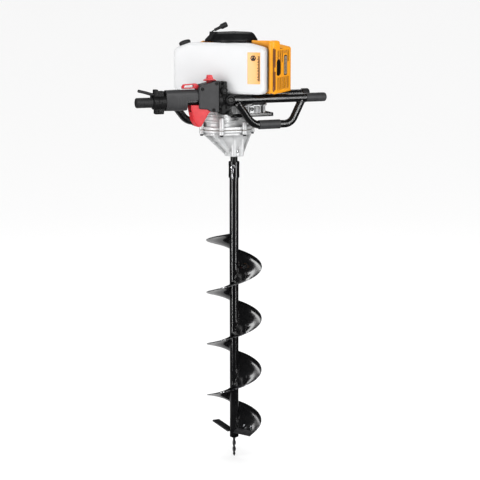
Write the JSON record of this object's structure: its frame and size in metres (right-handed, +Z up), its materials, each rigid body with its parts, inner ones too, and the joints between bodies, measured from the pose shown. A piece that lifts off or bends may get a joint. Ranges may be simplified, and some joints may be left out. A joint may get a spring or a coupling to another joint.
{
  "type": "powered ice auger",
  "caption": "Two-stroke powered earth and ice auger: engine and gearbox on a twin-bar handle frame, driving a spiral drill bit.",
  "frame": {"origin": "tip of the centre drill, on the bit's axis", "axes": "+Z up along the bit's axis; X along the handle bars, throttle at -X; -Y is the operator's throttle-bar side"},
  "size_m": [0.538, 0.303, 1.1826],
  "materials": {
    "gloss_black_steel": "gloss",
    "frame_black": "gloss",
    "blade_steel": "semi-gloss",
    "bright_steel": "brushed",
    "wire_steel": "polished",
    "gear_steel": "ground",
    "cast_aluminium": "cast",
    "tank_plastic": "translucent satin",
    "cover_orange": "satin",
    "black_plastic": "satin",
    "grip_vinyl": "satin",
    "black_rubber": "matte",
    "red_plastic": "satin",
    "bolt_black": "oxide",
    "gasket_paper": "matte",
    "friction_lining": "matte",
    "exhaust_steel": "heat-resistant matte",
    "brass": "satin",
    "ceramic_white": "glazed",
    "white_nylon": "matte",
    "primer_rubber": "satin"
  },
  "bodies": {
    "frame": {"front_bar": "frame_black", "rear_bar": "frame_black", "front_loop": "frame_black", "rear_loop": "frame_black", "frame_plate": "frame_black", "adapter_plate": "frame_black", "bar_grips": "grip_vinyl", "loop_sleeves": "grip_vinyl", "bar_end_cap": "black_rubber", "clutch_housing": "cast_aluminium", "gearbox_upper_housing": "cast_aluminium", "gearbox_lower_housing": "cast_aluminium", "gearbox_gasket": "gasket_paper", "gearbox_bolts": "bolt_black", "ball_bearings": "bright_steel", "oil_seal": "black_rubber", "crankcase": "cast_aluminium", "cylinder": "cast_aluminium", "piston": "cast_aluminium", "connecting_rod": "gear_steel", "spark_plug": "ceramic_white", "muffler": "exhaust_steel", "carburettor": "cast_aluminium", "air_filter_cover": "black_plastic", "recoil_housing": "black_plastic", "engine_cover": "cover_orange", "fuel_tank": "tank_plastic", "throttle_housing": "black_plastic", "throttle_grip": "grip_vinyl", "handle_collar": "black_plastic", "inner_clamp": "black_plastic", "throttle_fasteners": "bolt_black"},
    "auger": {"auger_shaft": "gloss_black_steel", "auger_flight": "gloss_black_steel", "front_blade": "blade_steel", "rear_blade": "blade_steel", "blade_bolts": "bright_steel", "centre_drill": "blade_steel", "auger_coupler": "gloss_black_steel", "lock_pin": "wire_steel", "r_clip": "wire_steel", "output_shaft": "gear_steel", "output_gear": "gear_steel"},
    "intermediate": {"intermediate_shaft": "gear_steel", "intermediate_gear": "gear_steel"},
    "input": {"input_pinion": "gear_steel", "clutch_drum": "gear_steel"},
    "crank": {"crankshaft": "gear_steel", "flywheel": "cast_aluminium", "clutch_shoes": "friction_lining"},
    "pulley": {"starter_pulley": "white_nylon"},
    "pull_handle": {"starter_handle": "black_rubber"},
    "trigger": {"throttle_trigger": "red_plastic"},
    "lockout": {"lockout_lever": "red_plastic"},
    "switch": {"stop_switch": "red_plastic"},
    "cap": {"fuel_cap": "black_plastic"},
    "carb_arm": {"carb_throttle_arm": "brass"},
    "choke": {"choke_lever": "red_plastic"},
    "primer": {"primer_bulb": "primer_rubber"}
  },
  "joints": [
    {"name": "output_spin", "type": "hinge", "parent": "frame", "child": "auger", "pos_m": [0, 0, 0.85], "axis": [0, 0, 1], "continuous": true},
    {"name": "intermediate_spin", "type": "hinge", "parent": "frame", "child": "intermediate", "pos_m": [-0.039, 0, 0.89], "axis": [0, 0, 1], "continuous": true},
    {"name": "input_spin", "type": "hinge", "parent": "frame", "child": "input", "pos_m": [0, 0, 0.92], "axis": [0, 0, 1], "continuous": true},
    {"name": "crank_spin", "type": "hinge", "parent": "frame", "child": "crank", "pos_m": [0, 0, 1.05], "axis": [0, 0, 1], "continuous": true},
    {"name": "starter_pull", "type": "slide", "parent": "frame", "child": "pull_handle", "axis": [0.9019, -0.1156, 0.4162], "range_m": [0, 0.8], "stiffness_N_per_m": 4, "springref_m": -0.5},
    {"name": "pulley_spin", "type": "hinge", "parent": "frame", "child": "pulley", "pos_m": [0, 0, 1.149], "axis": [0, 0, 1], "range_deg": [0, 1660]},
    {"name": "trigger_pull", "type": "hinge", "parent": "frame", "child": "trigger", "pos_m": [-0.097, -0.064, 0.968], "axis": [0, 1, 0], "range_deg": [0, 13], "stiffness_Nm_per_rad": 0.35, "springref_deg": -20.05},
    {"name": "lockout_press", "type": "hinge", "parent": "frame", "child": "lockout", "pos_m": [-0.125, -0.064, 1.017], "axis": [0, -1, 0], "range_deg": [0, 7], "stiffness_Nm_per_rad": 0.08, "springref_deg": -20.05},
    {"name": "stop_slide", "type": "slide", "parent": "frame", "child": "switch", "axis": [1, 0, 0], "range_m": [0, 0.006]},
    {"name": "cap_turn", "type": "hinge", "parent": "frame", "child": "cap", "pos_m": [-0.12157, 0.03679, 1.1248], "axis": [-0.2381, 0.222, 0.9455], "range_deg": [0, 540]},
    {"name": "throttle_arm_turn", "type": "hinge", "parent": "frame", "child": "carb_arm", "pos_m": [-0.00492, 0.1003, 1.07], "axis": [0, 0, 1], "range_deg": [0, 62]},
    {"name": "choke_turn", "type": "hinge", "parent": "frame", "child": "choke", "pos_m": [-0.0065, 0.14553, 1.056], "axis": [-0.682, -0.7314, 0], "range_deg": [0, 70]},
    {"name": "primer_press", "type": "slide", "parent": "frame", "child": "primer", "axis": [0, 0, 1], "range_m": [0, 0.003], "stiffness_N_per_m": 150, "springref_m": -0.003}
  ],
  "couplings": [
    {"joint": "intermediate_spin", "follows": "output_spin", "ratio": -5.5},
    {"joint": "input_spin", "follows": "output_spin", "ratio": 30.25},
    {"joint": "pulley_spin", "follows": "starter_pull", "rad_per_m": 35.714},
    {"joint": "throttle_arm_turn", "follows": "trigger_pull", "ratio": 4.6}
  ]
}
